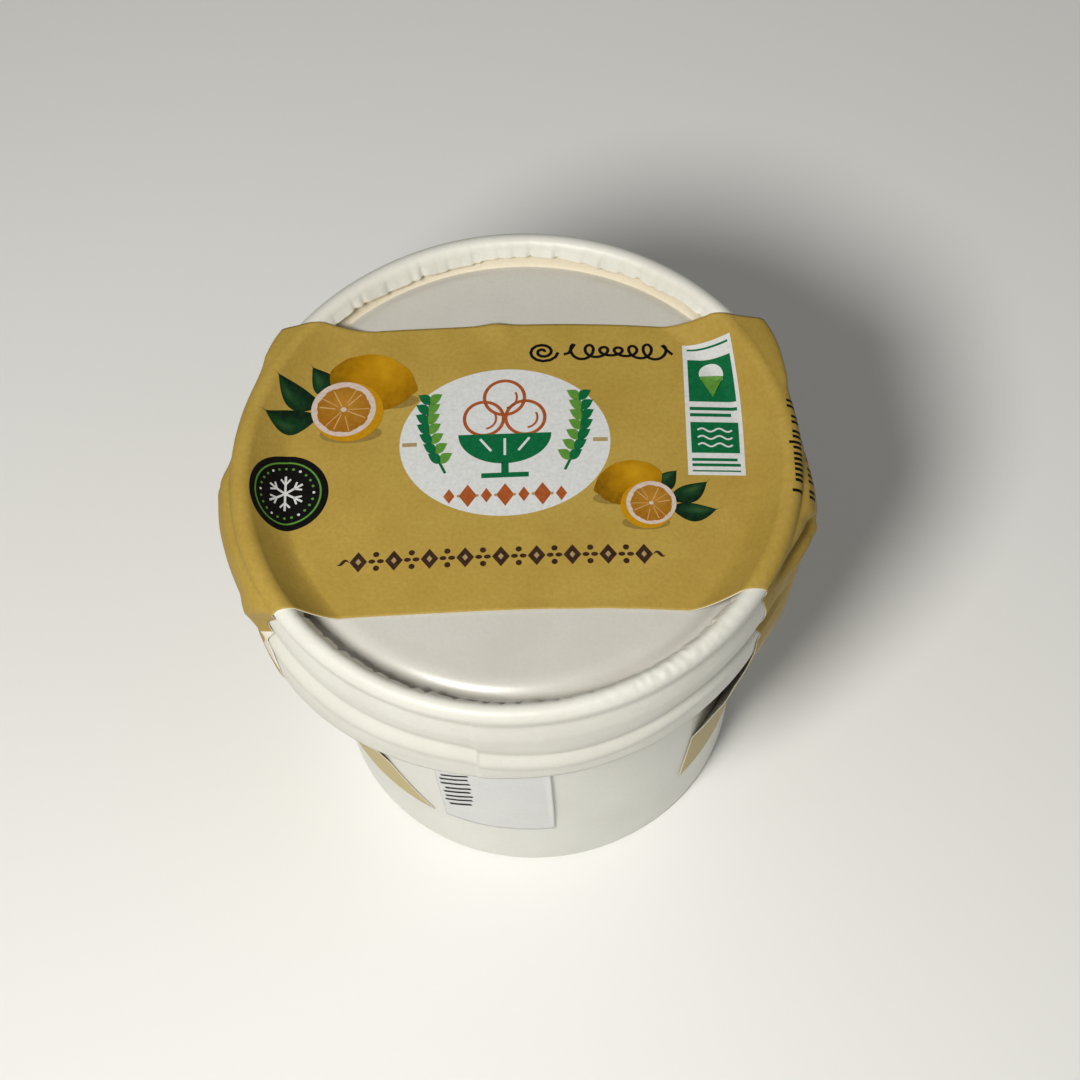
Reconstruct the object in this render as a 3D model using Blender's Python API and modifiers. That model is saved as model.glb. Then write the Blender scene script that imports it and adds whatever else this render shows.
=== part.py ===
"""Shut paperboard sorbet tub: tapered cup, sunk lid, paper seal band and a date label.

Metres, +Z up. The origin is the centre of the foot ring, on the surface the tub stands on.
The seal band runs along X, and the date label faces -Y.
"""
import math

import bmesh
import bpy

MM = 0.001
TURN_STEPS = 60

# Whole tub
HEIGHT = 87.0 * MM
LID_RADIUS = 50.0 * MM
GAP = 0.3 * MM

# Cup wall, a cone from the foot up to the rolled rim that the lid hides
FOOT_RADIUS = 38.7 * MM
WALL_TOP_RADIUS = 44.0 * MM
FOOT_ROUND = 0.6 * MM
FOOT_RING_WIDTH = 2.4 * MM
BASE_RECESS = 7.0 * MM
CUP_RIM_RADIUS = 47.6 * MM
CUP_RIM_HEIGHT = 3.6 * MM

# Side of the lid: a board strip that curls over the top edge and hangs down as a ribbed skirt
BOARD = 0.6 * MM
BEAD_RADIUS = 1.9 * MM
CURL_DROP = 4.2 * MM
SKIRT_DROP = 24.6 * MM
SKIRT_EDGE_RADIUS = 49.2 * MM
# Depth below the top and radius there: a groove, a rib, a deep groove, a low rib
SKIRT_RIBS = (
    (4.4 * MM, 49.5 * MM),
    (8.6 * MM, 50.1 * MM),
    (12.2 * MM, 49.5 * MM),
    (14.1 * MM, 48.9 * MM),
    (17.5 * MM, 49.9 * MM),
    (21.0 * MM, 49.4 * MM),
)

# Top of the lid: a sunk disc whose edge stands up inside the curl
RECESS = 5.8 * MM
PANEL_RADIUS = 45.9 * MM
PANEL_ROUND = 0.9 * MM

# Seal band, over the lid and down both sides
BAND_PAPER = 0.35 * MM
BAND_COLUMNS_ON_PANEL = 4
BAND_ROWS = 14
BAND_FRONT_ON_PANEL = -27.2 * MM
BAND_BACK_ON_PANEL = 32.0 * MM
BAND_FRONT_ON_SKIRT = -28.7 * MM
BAND_BACK_ON_SKIRT = 29.8 * MM
LIFT_RADIUS = 40.4 * MM
RIM_TOUCH_ANGLE = 140
SKIRT_CLEARANCE = 0.5 * MM
SKIRT_BULGE = 2.4 * MM
SKIRT_BULGE_LEAST = 0.25
SKIRT_BULGE_Y = -9.0 * MM
SKIRT_BULGE_SPREAD = 14.0 * MM
HANG_PULL = (48.6 * MM, 44.0 * MM)
WALL_TOUCH = 30.0 * MM
WALL_CLEARANCE = 0.4 * MM
# The two flaps: side of the tub, Y of the front edge where it meets the wall and at its end,
# height of the end at the front and at the back
FLAPS = (
    (-1, -31.4 * MM, -35.2 * MM, 17.9 * MM, 26.0 * MM),
    (1, -28.8 * MM, -29.6 * MM, 14.0 * MM, 21.0 * MM),
)
FLAP_BACK = 31.0 * MM

# Date label on the cup wall, with angles from -Y towards +X
LABEL_PAPER = 0.25 * MM
LABEL_FROM = -25.5
LABEL_TO = 5.6
LABEL_BOTTOM = 17.5 * MM
LABEL_TOP = 55.0 * MM
LABEL_COLUMNS = 12
LABEL_ROWS = 5

PANEL_TOP = HEIGHT - RECESS
CUP_TOP = PANEL_TOP - BOARD - GAP
BEAD_CENTRE = (LID_RADIUS - BEAD_RADIUS, HEIGHT - BEAD_RADIUS)
CURL_RADIUS = LID_RADIUS - 2 * BEAD_RADIUS


def clear_scene():
    for obj in list(bpy.data.objects):
        bpy.data.objects.remove(obj, do_unlink=True)


def make_collection(name):
    collection = bpy.data.collections.new(name)
    bpy.context.scene.collection.children.link(collection)
    return collection


def linear(channel):
    """One sRGB channel, 0 to 255, as the linear value that a shader takes."""
    value = channel / 255.0
    return value / 12.92 if value <= 0.04045 else ((value + 0.055) / 1.055) ** 2.4


def make_material(name, colour, roughness):
    material = bpy.data.materials.new(name)
    material.use_nodes = True
    shader = material.node_tree.nodes["Principled BSDF"]
    shader.inputs["Base Color"].default_value = tuple(linear(c) for c in colour) + (1.0,)
    shader.inputs["Roughness"].default_value = roughness
    shader.inputs["Metallic"].default_value = 0.0
    return material


def arc(centre, radius, start, end, steps):
    """Points of an arc in the profile plane, angles in degrees from +X, both ends included."""
    points = []
    for i in range(steps + 1):
        angle = math.radians(start + (end - start) * i / steps)
        points.append((centre[0] + radius * math.cos(angle), centre[1] + radius * math.sin(angle)))
    return points


def bezier(start, pull, end, share):
    """Point of a quadratic curve from start to end, pulled towards the middle point."""
    rest = 1.0 - share
    weights = (rest * rest, 2.0 * share * rest, share * share)
    return tuple(sum(w * p for w, p in zip(weights, axis)) for axis in zip(start, pull, end))


def mix(low, high, share):
    return low + (high - low) * share


def wall_radius(z):
    """Outer radius of the cup wall at a height."""
    return mix(FOOT_RADIUS, WALL_TOP_RADIUS, z / HEIGHT)


def add_object(name, mesh, material, collection):
    obj = bpy.data.objects.new(name, mesh)
    obj.data.materials.append(material)
    collection.objects.link(obj)
    return obj


def give_thickness(obj, thickness, offset):
    """Makes a surface a shell, with offset -1 behind its faces and 1 in front of them."""
    shell = obj.modifiers.new("Thickness", "SOLIDIFY")
    shell.thickness = thickness
    shell.offset = offset
    shell.use_even_offset = True


def make_turned(name, profile, material, collection):
    """Turns an (r, z) profile round Z. It runs outwards on top and downwards on the outside."""
    mesh = bpy.data.meshes.new(name)
    edges = [(i, i + 1) for i in range(len(profile) - 1)]
    mesh.from_pydata([(r, 0.0, z) for r, z in profile], edges, [])
    obj = add_object(name, mesh, material, collection)
    screw = obj.modifiers.new("Turn", "SCREW")
    screw.axis = "Z"
    screw.steps = TURN_STEPS
    screw.render_steps = TURN_STEPS
    screw.use_merge_vertices = True
    screw.merge_threshold = 0.00001
    screw.use_smooth_shade = True
    return obj


def make_sheet(name, columns, thickness, material, collection):
    """A paper sheet whose inner face is a grid of points, both faces cut into triangles alike."""
    mesh = bpy.data.meshes.new(name)
    shape = bmesh.new()
    grid = [[shape.verts.new(point) for point in column] for column in columns]
    for left, right in zip(grid, grid[1:]):
        for row in range(len(left) - 1):
            shape.faces.new((left[row], right[row], right[row + 1]))
            shape.faces.new((left[row], right[row + 1], left[row + 1]))
    for face in shape.faces:
        face.smooth = True
    shape.to_mesh(mesh)
    shape.free()
    obj = add_object(name, mesh, material, collection)
    give_thickness(obj, thickness, 1.0)
    return obj


def make_cup(material, collection):
    """The filled tub as one solid, up to just under the lid's disc, hollow under its base."""
    bead = CUP_RIM_HEIGHT / 2
    under_rim = CUP_TOP - CUP_RIM_HEIGHT
    recess_radius = FOOT_RADIUS - FOOT_RING_WIDTH
    profile = [(0.0, CUP_TOP)]
    profile += arc((CUP_RIM_RADIUS - bead, CUP_TOP - bead), bead, 90, -90, 6)
    profile.append((wall_radius(under_rim), under_rim))
    profile.append((wall_radius(FOOT_ROUND), FOOT_ROUND))
    profile.append((FOOT_RADIUS - FOOT_ROUND, 0.0))
    profile.append((recess_radius, 0.0))
    profile.append((recess_radius, BASE_RECESS))
    profile.append((0.0, BASE_RECESS))
    return make_turned("cup", profile, material, collection)


def make_lid_side(material, collection):
    """Curl over the top edge and ribbed skirt, one board shell that is open below."""
    profile = [(CURL_RADIUS, HEIGHT - CURL_DROP)]
    profile += arc(BEAD_CENTRE, BEAD_RADIUS, 180, 0, 8)
    profile += [(radius, HEIGHT - depth) for depth, radius in SKIRT_RIBS]
    profile.append((SKIRT_EDGE_RADIUS, HEIGHT - SKIRT_DROP))
    obj = make_turned("lid_side", profile, material, collection)
    give_thickness(obj, BOARD, -1.0)
    return obj


def make_lid_panel(material, collection):
    """Sunk disc of the lid, with its edge turned up behind the curl."""
    flange_radius = CURL_RADIUS + BOARD + GAP
    profile = [(0.0, PANEL_TOP)]
    profile += arc((PANEL_RADIUS, PANEL_TOP + PANEL_ROUND), PANEL_ROUND, -90, 0, 3)
    profile.append((flange_radius, HEIGHT - CURL_DROP))
    profile.append((flange_radius, BEAD_CENTRE[1]))
    obj = make_turned("lid_panel", profile, material, collection)
    give_thickness(obj, BOARD, -1.0)
    return obj


def over_rim_stations():
    """Radius and height of the band from where it lifts off the disc until it is over the rim."""
    around = arc(BEAD_CENTRE, BEAD_RADIUS + GAP, RIM_TOUCH_ANGLE, 10, 5)
    touch = around[0]
    floor = PANEL_TOP + GAP
    slope = math.radians(RIM_TOUCH_ANGLE - 90)
    pull = (touch[0] - (touch[1] - floor) / math.tan(slope), floor)
    bridge_steps = 5
    lift = [bezier((LIFT_RADIUS, floor), pull, touch, i / bridge_steps) for i in range(bridge_steps)]
    return lift + around


def band_stations():
    """Radius, height and share of the bulge along one half of the band, from disc to wall."""
    stations = [(radius, z, 0.0) for radius, z in over_rim_stations()]
    skirt_radius = LID_RADIUS + SKIRT_CLEARANCE
    skirt_top = stations[-1][1]
    skirt_end = HEIGHT - SKIRT_DROP
    skirt_steps = 6
    for i in range(1, skirt_steps + 1):
        share = i / skirt_steps
        bulge = math.sin(math.pi * share)
        stations.append((skirt_radius, mix(skirt_top, skirt_end, share), bulge))
    touch = (wall_radius(WALL_TOUCH) + WALL_CLEARANCE, WALL_TOUCH)
    hang_steps = 5
    for i in range(1, hang_steps + 1):
        stations.append((*bezier((skirt_radius, skirt_end), HANG_PULL, touch, i / hang_steps), 0.0))
    return stations


def bulge_at(y):
    """How far the band stands off the skirt at its fullest, for a place across its width."""
    spread = math.exp(-(((y - SKIRT_BULGE_Y) / SKIRT_BULGE_SPREAD) ** 2))
    return SKIRT_BULGE * mix(SKIRT_BULGE_LEAST, 1.0, spread)


def half_band(side, front_touch, front_end, end_front, end_back):
    """Columns of points from the disc down to the end of one flap, each from front to back."""
    stations = band_stations()
    rim_count = len(over_rim_stations())
    columns = []
    for i, (radius, z, bulge) in enumerate(stations):
        to_rim = min(i / (rim_count - 1), 1.0)
        to_wall = max(0.0, (i - rim_count + 1) / (len(stations) - rim_count))
        front = mix(mix(BAND_FRONT_ON_PANEL, BAND_FRONT_ON_SKIRT, to_rim), front_touch, to_wall ** 2)
        back = mix(mix(BAND_BACK_ON_PANEL, BAND_BACK_ON_SKIRT, to_rim), FLAP_BACK, to_wall)
        column = []
        for row in range(BAND_ROWS + 1):
            y = mix(front, back, row / BAND_ROWS)
            reach = radius + bulge * bulge_at(y)
            column.append((side * math.sqrt(reach * reach - y * y), y, z))
        columns.append(column)
    wall_steps = 3
    for i in range(1, wall_steps + 1):
        down = i / wall_steps
        column = []
        for row in range(BAND_ROWS + 1):
            share = row / BAND_ROWS
            y = mix(mix(front_touch, front_end, down), FLAP_BACK, share)
            z = mix(WALL_TOUCH, mix(end_front, end_back, share), down)
            reach = wall_radius(z) + WALL_CLEARANCE
            column.append((side * math.sqrt(reach * reach - y * y), y, z))
        columns.append(column)
    return columns


def make_band(material, collection):
    """Seal band as one paper sheet: up the left wall, over the lid and down the right wall."""
    left, right = (half_band(*flap) for flap in FLAPS)
    middle = []
    for i in range(1, BAND_COLUMNS_ON_PANEL):
        share = i / BAND_COLUMNS_ON_PANEL
        middle.append([(mix(a[0], b[0], share), a[1], a[2]) for a, b in zip(left[0], right[0])])
    columns = left[::-1] + middle + right
    return make_sheet("seal_band", columns, BAND_PAPER, material, collection)


def make_date_label(material, collection):
    """Small label on the front of the cup wall, with its upper part behind the skirt."""
    columns = []
    for i in range(LABEL_COLUMNS + 1):
        angle = math.radians(mix(LABEL_FROM, LABEL_TO, i / LABEL_COLUMNS))
        column = []
        for row in range(LABEL_ROWS + 1):
            z = mix(LABEL_BOTTOM, LABEL_TOP, row / LABEL_ROWS)
            radius = wall_radius(z) + GAP
            column.append((radius * math.sin(angle), -radius * math.cos(angle), z))
        columns.append(column)
    return make_sheet("date_label", columns, LABEL_PAPER, material, collection)


def main():
    clear_scene()
    collection = make_collection("sorbet_cup")
    make_cup(make_material("cup_board", (226, 224, 214), 0.45), collection)
    make_lid_side(make_material("lid_board", (240, 237, 226), 0.4), collection)
    make_lid_panel(make_material("lid_disc_board", (222, 217, 204), 0.4), collection)
    make_band(make_material("buff_paper", (203, 178, 100), 0.6), collection)
    make_date_label(make_material("label_paper", (228, 228, 226), 0.5), collection)


main()
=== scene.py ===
"""Looks of a shut paperboard sorbet tub: coated board cup and lid, a printed paper seal band and a label.

Sizes are in millimetres; materials, lights and the camera take metres.
"""
from collections import namedtuple
import math
from math import cos, hypot, pi, radians, sin, sqrt
import random

import bmesh
import bpy
import numpy as np
from mathutils import Matrix, Vector, noise


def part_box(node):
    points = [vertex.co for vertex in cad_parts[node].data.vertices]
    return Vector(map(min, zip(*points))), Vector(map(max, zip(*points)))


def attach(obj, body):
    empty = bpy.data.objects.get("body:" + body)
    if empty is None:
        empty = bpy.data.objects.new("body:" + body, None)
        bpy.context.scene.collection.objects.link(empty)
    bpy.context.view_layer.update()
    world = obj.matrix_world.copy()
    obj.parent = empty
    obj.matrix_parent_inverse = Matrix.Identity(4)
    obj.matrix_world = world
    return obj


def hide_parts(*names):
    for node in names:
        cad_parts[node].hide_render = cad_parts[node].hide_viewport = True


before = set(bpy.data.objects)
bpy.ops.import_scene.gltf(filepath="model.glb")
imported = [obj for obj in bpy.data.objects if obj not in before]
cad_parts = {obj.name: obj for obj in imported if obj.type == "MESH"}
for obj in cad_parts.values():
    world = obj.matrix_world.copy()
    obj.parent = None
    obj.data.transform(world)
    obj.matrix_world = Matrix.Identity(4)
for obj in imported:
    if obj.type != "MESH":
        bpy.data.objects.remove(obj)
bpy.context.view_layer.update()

MM = 0.001

# Heights and radii of the frame
LID_LOW, LID_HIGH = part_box("lid_side")
CUP_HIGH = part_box("cup")[1]
TOP = LID_HIGH.z / MM
SKIRT_END = LID_LOW.z / MM
CUP_TOP = CUP_HIGH.z / MM
CUP_RIM_RADIUS = CUP_HIGH.x / MM

# Cup wall
FOOT_RADIUS = 38.7
FOOT_RING = 2.2
BASE_RECESS = 7.0
WALL_TOP_RADIUS = 44.0
WALL_SEAM_ANGLE = radians(112)
WALL_SEAM_STEP = 0.32
WALL_SEAM_FADE = 0.24
CUP_BEAD = 1.8
CUP_SINK = 2.0

# Lid
LID_RADIUS = 50.0
BOARD = 0.5
BEAD_RADIUS = 1.9
BEAD_CENTRE = LID_RADIUS - BEAD_RADIUS
BEAD_Z = TOP - BEAD_RADIUS
PANEL_DROP = 5.8
PANEL_EDGE_RADIUS = 46.0
SKIRT_SEAM_ANGLE = radians(-99)
SKIRT_SEAM_STEP = 0.16
SKIRT_SEAM_FADE = 0.2
CRUMPLE = 0.22
CRUMPLE_ANGLE = radians(-90 + 33)
# Depth below the top and radius there, down the skirt and on below its end
SKIRT_DEPTHS, SKIRT_RADII = zip(
    (1.9, 50.0), (3.0, 49.85), (4.6, 49.3), (6.2, 49.7), (8.6, 50.1), (11.0, 50.0), (13.0, 49.4),
    (14.7, 48.4), (15.5, 49.1), (17.3, 49.9), (19.4, 49.4), (20.6, 49.5), (22.6, 49.35),
    (TOP - SKIRT_END + 2.5, 49.0),
)

# Seal band
PAPER = 0.17
PAPER_LIFT = 0.22
LIFT_RADIUS = 40.4
RIM_TOUCH = radians(140)
RIM_LEAVE = radians(8)
CORNER_SLOPE = radians(11)
WALL_TOUCH = 30.0
WALL_GAP = 0.35
# How far the band's left front edge runs back down the lid's side, the heights over which its tuck starts and
# ends, and the columns of the band's grid between which it shows its white face
EDGE_SLANT = 3.4
HEM_TOP = (86.0, 84.4)
HEM_END = (64.5, 67.5)
HEM_COLUMNS = (64, 86)
PANEL_FLOOR = TOP - PANEL_DROP + PAPER_LIFT


def mix(low, high, share):
    return low + (high - low) * share


def smooth(low, high, value):
    """0 below low, 1 above high and an even turn between them."""
    share = np.clip((value - low) / (high - low), 0.0, 1.0)
    return share * share * (3.0 - 2.0 * share)


def hump(value, centre, width):
    """1 at the centre, falling off evenly to both sides."""
    return np.exp(-(((value - centre) / width) ** 2))


def polar(angle, radius):
    return cos(angle) * radius, sin(angle) * radius


def rotate(angle, x, y):
    return x * cos(angle) - y * sin(angle), x * sin(angle) + y * cos(angle)


def on_circle(r, y, z):
    """Point at a radius, on the side where X is positive."""
    return sqrt(r * r - y * y), y, z


def curve(start, pull, end, t):
    """Point of a quadratic curve, such as a radius and a height."""
    return [(1 - t) ** 2 * a + 2 * t * (1 - t) * b + t * t * c for a, b, c in zip(start, pull, end)]


def wall_radius(z):
    return mix(FOOT_RADIUS, WALL_TOP_RADIUS, z / TOP)


def grain(x, y, z, scale):
    """Smooth noise between about -1 and 1 with features of the given size."""
    return noise.noise(Vector((x / scale, y / scale, z / scale)))


# Materials


def linear(colour):
    """sRGB channels, 0 to 255, as the linear colour that a shader takes."""
    values = []
    for channel in colour:
        value = channel / 255.0
        values.append(value / 12.92 if value <= 0.04045 else ((value + 0.055) / 1.055) ** 2.4)
    return (*values, 1.0)


def feed(tree, socket, value):
    """Links a socket to another node's output, or sets it to a plain value."""
    if isinstance(value, bpy.types.NodeSocket):
        tree.links.new(value, socket)
    else:
        socket.default_value = value


def node(tree, kind, **inputs):
    made = tree.nodes.new(kind)
    for name, value in inputs.items():
        feed(tree, made.inputs[name.replace("_", " ")], value)
    return made


def math_node(tree, operation, *values):
    made = tree.nodes.new("ShaderNodeMath")
    made.operation = operation
    for socket, value in zip(made.inputs, values):
        feed(tree, socket, value)
    return made.outputs[0]


def tone_mix(tree, factor, low, high):
    """Mix of two colours or colour outputs by a factor output."""
    made = tree.nodes.new("ShaderNodeMix")
    made.data_type = "RGBA"
    feed(tree, made.inputs["Factor"], factor)
    for name, tone in (("A", low), ("B", high)):
        feed(tree, made.inputs[name], linear(tone) if isinstance(tone, tuple) else tone)
    return made.outputs["Result"]


def noise_factor(tree, vector, scale, detail, low, high):
    """Noise spread over 0 to 1 between two of its values."""
    source = node(tree, "ShaderNodeTexNoise", Vector=vector, Scale=scale, Detail=detail, Roughness=0.55)
    spread = node(tree, "ShaderNodeMapRange", Value=source.outputs["Fac"], From_Min=low, From_Max=high)
    return spread.outputs["Result"]


def new_material(name, roughness, coat=0.0, specular=0.5):
    material = bpy.data.materials.new(name)
    material.use_nodes = True
    tree = material.node_tree
    shader = tree.nodes["Principled BSDF"]
    for socket, value in (("Roughness", roughness), ("Coat Weight", coat), ("Specular IOR Level", specular)):
        shader.inputs[socket].default_value = value
    shader.inputs["Coat Roughness"].default_value = 0.3
    place = tree.nodes.new("ShaderNodeTexCoord").outputs["Object"]
    return material, tree, shader, place


def finish_shader(tree, shader, colour, heights, distance):
    """Feeds the shader its colour, and one bump joined from height outputs, each with its weight."""
    total = None
    for height, weight in heights:
        scaled = math_node(tree, "MULTIPLY", height, weight)
        total = scaled if total is None else math_node(tree, "ADD", total, scaled)
    bump = node(tree, "ShaderNodeBump", Strength=1.0, Distance=distance * MM, Height=total)
    tree.links.new(bump.outputs["Normal"], shader.inputs["Normal"])
    tree.links.new(colour, shader.inputs["Base Color"])


# Heights in metres between which the flaps' paper turns paler, a painted sheen of light at a grazing angle,
# and the pale tone's share below them
SHEEN_HEIGHTS = (0.047, 0.068)
SHEEN_SHARE = 0.85


def board_material(name, light, shade, roughness, coat, dent):
    """Coated paperboard: a clean satin face with faint clouds, fibres and shallow dents."""
    material, tree, shader, place = new_material(name, roughness, coat)
    clouds = noise_factor(tree, place, 55.0, 3.0, 0.35, 0.68)
    fibres = noise_factor(tree, place, 1500.0, 2.0, 0.3, 0.7)
    waves = noise_factor(tree, place, 160.0, 2.0, 0.25, 0.75)
    base = tone_mix(tree, clouds, light, shade)
    dusky = tuple(channel - 7 for channel in shade)
    colour = tone_mix(tree, math_node(tree, "MULTIPLY", fibres, 0.35), base, dusky)
    finish_shader(tree, shader, colour, ((fibres, 0.03), (waves, dent)), 0.25)
    return material


def paper_material(name, light, shade, speck, roughness=0.62, painted_sheen=None):
    """Printed paper: two close tones in clouds and mottling, and if given a paler one low on the flaps as
    painted sheen of light at a grazing angle.
    """
    material, tree, shader, place = new_material(name, roughness, specular=0.3)
    clouds = noise_factor(tree, place, 90.0, 4.0, 0.34, 0.66)
    mottle = noise_factor(tree, place, 1300.0, 3.0, 0.32, 0.68)
    base = tone_mix(tree, clouds, light, shade)
    colour = tone_mix(tree, math_node(tree, "MULTIPLY", mottle, 0.4), base, speck)
    # Painted sheen: the paper turns paler low on the flaps, standing in for light meeting it at a grazing
    # angle
    if painted_sheen:
        height = node(tree, "ShaderNodeSeparateXYZ", Vector=place).outputs["Z"]
        low, high = SHEEN_HEIGHTS
        part = node(tree, "ShaderNodeMapRange", From_Min=low, From_Max=high, To_Min=SHEEN_SHARE, To_Max=0.0)
        feed(tree, part.inputs["Value"], height)
        colour = tone_mix(tree, part.outputs["Result"], colour, painted_sheen)
    finish_shader(tree, shader, colour, ((mottle, 0.06), (clouds, 0.25)), 0.2)
    return material


def ink_material(name, tone, speck):
    """Flat ink on the paper, broken a little by the paper's fibres."""
    material, tree, shader, place = new_material("print_" + name, 0.58, specular=0.12)
    mottle = noise_factor(tree, place, 1500.0, 2.0, 0.3, 0.72)
    finish_shader(tree, shader, tone_mix(tree, mottle, tone, speck), ((mottle, 0.05),), 0.2)
    return material


def rounded_material(name, glow, middle, rim, centre, reach, streak=0.0):
    """Ink shaded like a round fruit or leaf: its tones run outwards from a bright spot on the motif."""
    material, tree, shader, place = new_material(name, 0.55, specular=0.1)
    spot = tree.nodes.new("ShaderNodeUVMap")
    spot.uv_map = "motif"
    apart = tree.nodes.new("ShaderNodeVectorMath")
    apart.operation = "DISTANCE"
    tree.links.new(spot.outputs["UV"], apart.inputs[0])
    apart.inputs[1].default_value = (*centre, 0.0)
    pores = noise_factor(tree, place, 1100.0, 3.0, 0.3, 0.7)
    broad = noise_factor(tree, place, 330.0, 2.0, 0.3, 0.7)
    shifted = math_node(tree, "MULTIPLY_ADD", broad, 0.22 * reach, apart.outputs["Value"])
    spread = node(tree, "ShaderNodeMapRange", Value=shifted, From_Min=0.0, From_Max=reach)
    ramp = node(tree, "ShaderNodeValToRGB", Fac=spread.outputs["Result"])
    ramp.color_ramp.elements[0].color = linear(glow)
    ramp.color_ramp.elements[1].color = linear(rim)
    ramp.color_ramp.elements.new(0.55).color = linear(middle)
    light = math_node(tree, "MULTIPLY", pores, 0.22 + streak)
    colour = tone_mix(tree, light, ramp.outputs["Color"], glow)
    finish_shader(tree, shader, colour, ((pores, 0.05),), 0.2)
    return material


CUP_BOARD = board_material("cup_board", (228, 228, 221), (220, 220, 212), 0.42, 0.12, 0.10)
LID_BOARD = board_material("lid_board", (220, 220, 211), (212, 211, 202), 0.46, 0.04, 0.12)
DISC_BOARD = board_material("lid_disc_board", (198, 196, 189), (191, 189, 181), 0.34, 0.4, 0.05)
RAW_BOARD = board_material("raw_cream_board", (226, 217, 196), (216, 204, 178), 0.7, 0.0, 0.25)
# The paler tone given for low on the flaps is painted sheen, not a colour of the paper
BUFF = paper_material("buff_paper", (174, 147, 67), (166, 138, 58), (147, 119, 46), painted_sheen=(198, 184, 138))
WHITE_PAPER = paper_material("white_paper_back", (226, 221, 208), (220, 214, 200), (208, 201, 186))
LABEL_PAPER = paper_material("label_paper", (222, 222, 221), (217, 217, 216), (210, 210, 210), 0.5)
INK_WHITE = ink_material("white", (206, 208, 208), (194, 195, 194))
INK_BLACK = ink_material("black", (5, 5, 5), (16, 15, 13))
INK_BROWN = ink_material("brown", (44, 26, 18), (64, 42, 28))
INK_RUST = ink_material("rust", (146, 68, 26), (160, 86, 44))
INK_GREEN = ink_material("green", (2, 88, 48), (10, 100, 60))
INK_LEAF = ink_material("leaf_green", (76, 128, 44), (92, 140, 58))
INK_GOLD = ink_material("gold", (150, 128, 84), (162, 142, 100))
INK_SHADE = ink_material("shade", (130, 108, 50), (142, 119, 60))
LEMON_SKIN = rounded_material("print_lemon", (190, 144, 22), (154, 108, 0), (108, 72, 0), (0.25, 0.32), 1.3)
LEMON_RIND = ink_material("rind", (172, 120, 2), (182, 134, 14))
LEMON_PITH = ink_material("pith", (200, 184, 174), (184, 166, 156))
LEMON_FLESH = rounded_material(
    "print_flesh", (172, 120, 44), (148, 102, 26), (138, 86, 10), (0.1, 0.3), 1.3, 0.2
)
FLESH_VEIN = ink_material("vein", (198, 158, 108), (186, 140, 84))
LEAF_DARK = rounded_material("print_leaf_dark", (46, 82, 44), (8, 46, 24), (2, 22, 12), (0.0, 0.3), 1.1)


# Meshes


def add_object(name, data):
    obj = bpy.data.objects.new(name, data)
    bpy.context.scene.collection.objects.link(obj)
    return obj


def make_object(name, points, faces, materials, face_materials=None, smooth_faces=True):
    mesh = bpy.data.meshes.new(name)
    mesh.from_pydata([tuple(c * MM for c in p) for p in points], [], faces)
    for material in materials:
        mesh.materials.append(material)
    if face_materials:
        mesh.polygons.foreach_set("material_index", face_materials)
    mesh.polygons.foreach_set("use_smooth", [smooth_faces] * len(mesh.polygons))
    mesh.update()
    return add_object(name, mesh)


def thicken(obj, thickness, under=0):
    """Gives a surface its thickness behind its faces; its back takes a material further on in the list."""
    shell = obj.modifiers.new("Thickness", "SOLIDIFY")
    shell.thickness = thickness * MM
    shell.offset = -1.0
    shell.material_offset = under
    shell.material_offset_rim = under


def finish_piece(piece, slot, *replaced):
    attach(piece, "root")
    if replaced:
        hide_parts(*replaced)


def ring_faces(columns, rows, closed=True):
    """Quads of a grid stored column by column, joined round if closed."""
    faces = []
    for i in range(columns if closed else columns - 1):
        a = i * rows
        b = ((i + 1) % columns) * rows
        faces += [(a + j, a + j + 1, b + j + 1, b + j) for j in range(rows - 1)]
    return faces


def turned(name, profile_at, steps, materials, row_material=lambda row: 0):
    """Turns a profile that may change with the angle; it runs outwards on top, down on the outside."""
    points = []
    for i in range(steps):
        angle = 2 * pi * i / steps
        points += [(*polar(angle, r), z) for r, z in profile_at(angle)]
    rows = len(points) // steps
    pattern = [row_material(j) for j in range(rows - 1)] * steps
    return make_object(name, points, ring_faces(steps, rows), materials, pattern)


def close_axis(obj):
    """Merges the points that a turned profile leaves on the axis."""
    shape = bmesh.new()
    shape.from_mesh(obj.data)
    bmesh.ops.remove_doubles(shape, verts=shape.verts, dist=0.000001)
    shape.to_mesh(obj.data)
    shape.free()


def random_angles(seed, least, most):
    """Uneven steps round the circle, as (angle, strength) pairs."""
    draw = random.Random(seed)
    angle = draw.uniform(0, least)
    marks = []
    while angle < 360:
        marks.append((radians(angle), draw.uniform(0.35, 1.0)))
        angle += draw.uniform(least, most)
    return marks


def turn_apart(a, b):
    """Signed angle from b to a, between -pi and pi."""
    return (a - b + pi) % (2 * pi) - pi


def lap_step(lap, height, fade):
    """Step where board overlaps, highest at its edge and gone after an angle."""
    return height * (1.0 - lap / fade) if 0 <= lap < fade else 0.0


# Cup


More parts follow.
